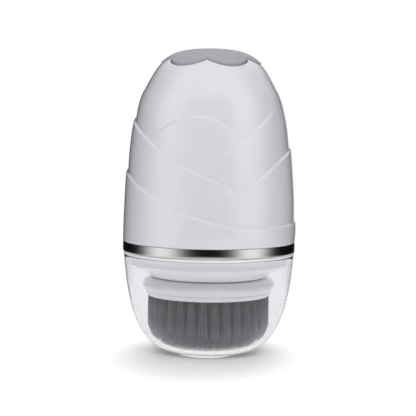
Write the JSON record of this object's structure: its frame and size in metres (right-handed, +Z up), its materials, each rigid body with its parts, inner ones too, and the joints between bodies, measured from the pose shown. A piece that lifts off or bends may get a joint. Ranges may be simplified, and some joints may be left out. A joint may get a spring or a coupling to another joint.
{
  "type": "facial cleansing brush",
  "caption": "Palm-sized rechargeable face brush: glossy bullet-shaped handle with a petal button, chrome trim, a rotating bristle head and a clear bowl cap that it stands on.",
  "frame": {"origin": "centre of the clear cap's flat foot, on the surface that the brush stands on", "axes": "+Z up along the handle, towards the button; -Y is the front; the charging port is on the +Y side"},
  "size_m": [0.0608, 0.0608, 0.107],
  "materials": {
    "housing_plastic": "high-gloss moulded plastic, white with a faint lilac tint",
    "button_satin": "satin grey moulded plastic",
    "trim_chrome": "mirror-bright plated plastic",
    "clear_plastic": "clear polished plastic",
    "bristle": "soft grey nylon filament",
    "steel": "plain bright steel",
    "seal_rubber": "matt black rubber",
    "plug_silicone": "matt silicone, near the colour of the housing",
    "nickel": "nickel plate",
    "brass": "turned brass",
    "gear_acetal": "natural acetal",
    "frame_plastic": "dark grey moulded plastic",
    "black_plastic": "black moulded plastic",
    "cell_wrap": "blue shrink film over a metal can",
    "circuit_board": "green solder mask on glass-fibre board",
    "wire_red": "red insulation",
    "wire_black": "black insulation"
  },
  "bodies": {
    "handle": {"upper_housing": "housing_plastic", "lower_body": "housing_plastic", "trim_ring": "trim_chrome", "seal_retainer": "steel", "plate_screw_1": "steel", "plate_screw_2": "steel", "plate_screw_3": "steel", "motor_screw_1": "steel", "motor_screw_2": "steel", "board_screw_1": "steel", "board_screw_2": "steel", "motor_can": "steel", "shaft_bearing": "steel", "idler_axle": "steel", "stem_seal": "seal_rubber", "housing_o_ring": "seal_rubber", "shaft_seal": "seal_rubber", "charging_socket": "nickel", "battery_top_tab": "nickel", "battery_bottom_tab": "nickel", "capacitor": "nickel", "upper_bush": "brass", "gear_plate": "frame_plastic", "inner_frame": "frame_plastic", "inductor": "frame_plastic", "motor_end_cap": "black_plastic", "switch_body": "black_plastic", "charger_chip": "black_plastic", "motor_driver_chip": "black_plastic", "battery_cell": "cell_wrap", "main_board": "circuit_board", "switch_board": "circuit_board", "motor_wire_red": "wire_red", "battery_wire_red": "wire_red", "motor_wire_black": "wire_black", "battery_wire_black": "wire_black", "switch_wire": "wire_black"},
    "brush": {"brush_head_shell": "housing_plastic", "tuft_plate": "housing_plastic", "outer_bristles": "bristle", "middle_bristles": "bristle", "drive_hub": "gear_acetal", "output_shaft": "steel", "shaft_clip": "steel", "output_gear": "gear_acetal"},
    "idler": {"idler_gear": "gear_acetal"},
    "motor_rotor": {"motor_shaft": "steel", "motor_pinion": "brass"},
    "button": {"power_button": "button_satin", "button_clip": "steel"},
    "plunger": {"switch_plunger": "gear_acetal"},
    "plug": {"port_plug": "plug_silicone"},
    "cap": {"clear_cap": "clear_plastic"}
  },
  "joints": [
    {"name": "brush_spin", "type": "hinge", "parent": "handle", "child": "brush", "pos_m": [0, 0, 0.03], "axis": [0, 0, 1], "continuous": true},
    {"name": "idler_spin", "type": "hinge", "parent": "handle", "child": "idler", "pos_m": [0.0055, -0.012, 0.037], "axis": [0, 0, 1], "continuous": true},
    {"name": "motor_spin", "type": "hinge", "parent": "handle", "child": "motor_rotor", "pos_m": [0.011, 0, 0.05], "axis": [0, 0, 1], "continuous": true},
    {"name": "button_press", "type": "slide", "parent": "handle", "child": "button", "axis": [0, 0, -1], "range_m": [0, 0.0006], "stiffness_N_per_m": 2500},
    {"name": "plunger_press", "type": "slide", "parent": "handle", "child": "plunger", "axis": [0, 0, -1], "range_m": [0, 0.0006]},
    {"name": "plug_open", "type": "hinge", "parent": "handle", "child": "plug", "pos_m": [-0.006, 0.03, 0.052], "axis": [0, 0, 1], "range_deg": [0, 110]},
    {"name": "cap_pull", "type": "slide", "parent": "handle", "child": "cap", "axis": [0, 0, -1], "range_m": [0, 0.045]}
  ],
  "couplings": [
    {"joint": "idler_spin", "follows": "brush_spin", "ratio": -4.5},
    {"joint": "motor_spin", "follows": "brush_spin", "ratio": 20.25},
    {"joint": "plunger_press", "follows": "button_press", "ratio": 1}
  ]
}
